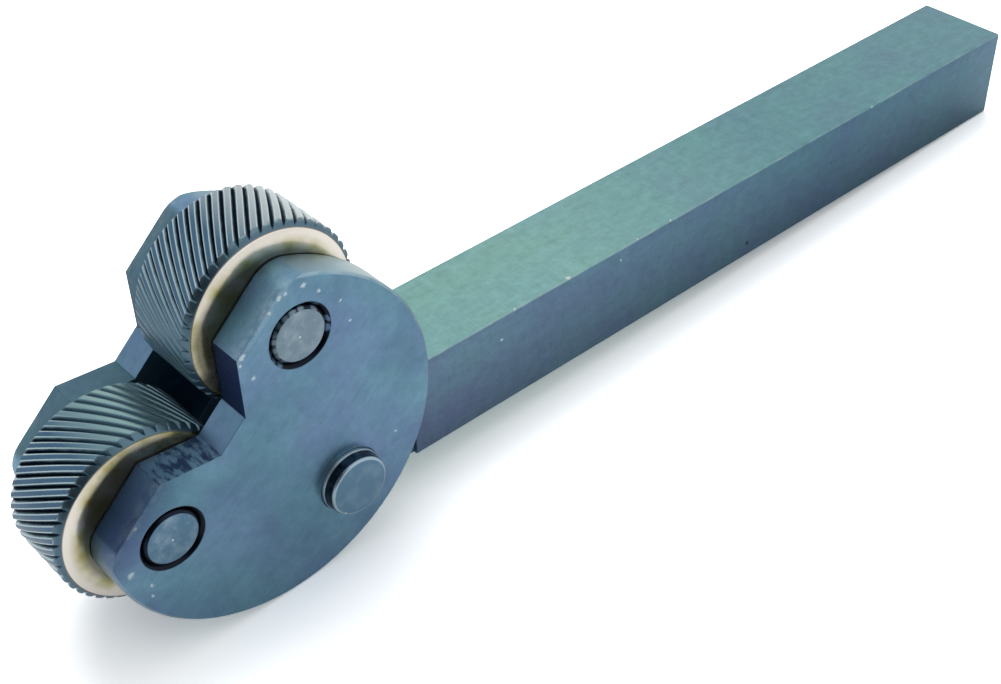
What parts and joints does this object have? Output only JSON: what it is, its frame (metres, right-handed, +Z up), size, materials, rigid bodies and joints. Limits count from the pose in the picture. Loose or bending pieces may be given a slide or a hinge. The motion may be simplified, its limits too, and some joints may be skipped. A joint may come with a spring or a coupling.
{
  "type": "knurling tool",
  "caption": "Lathe knurling tool: square shank, rocking forked head on a pivot pin, and a pair of helical knurling wheels of opposite hand.",
  "frame": {"origin": "centre of the shank's lower clamping face", "axes": "+X along the shank to its tail, +Z up off the clamping face, the head at -X; the wheel and pivot axes lie along Y"},
  "size_m": [0.1908, 0.027, 0.0533],
  "materials": {
    "blued_bar_steel": "oxide-blackened milled bar, satin blue-green",
    "blued_head_steel": "oxide-blackened, satin blue-grey",
    "hardened_knurl_steel": "hardened teeth, ground side faces",
    "pin_steel": "oxide-blackened, satin"
  },
  "bodies": {
    "shank": {"shank": "blued_bar_steel"},
    "head": {"head": "blued_head_steel", "upper_wheel_pin": "pin_steel", "lower_wheel_pin": "pin_steel", "pivot_pin": "pin_steel"},
    "upper_wheel": {"upper_wheel": "hardened_knurl_steel"},
    "lower_wheel": {"lower_wheel": "hardened_knurl_steel"}
  },
  "joints": [
    {"name": "head_rock", "type": "hinge", "parent": "shank", "child": "head", "pos_m": [-0.08313, 0, 0.008], "axis": [0, 1, 0], "range_deg": [-96, 1]},
    {"name": "upper_wheel_spin", "type": "hinge", "parent": "head", "child": "upper_wheel", "pos_m": [-0.08797, 0, 0.03497], "axis": [0, 1, 0], "continuous": true},
    {"name": "lower_wheel_spin", "type": "hinge", "parent": "head", "child": "lower_wheel", "pos_m": [-0.10957, 0, 0.01517], "axis": [0, 1, 0], "continuous": true}
  ]
}
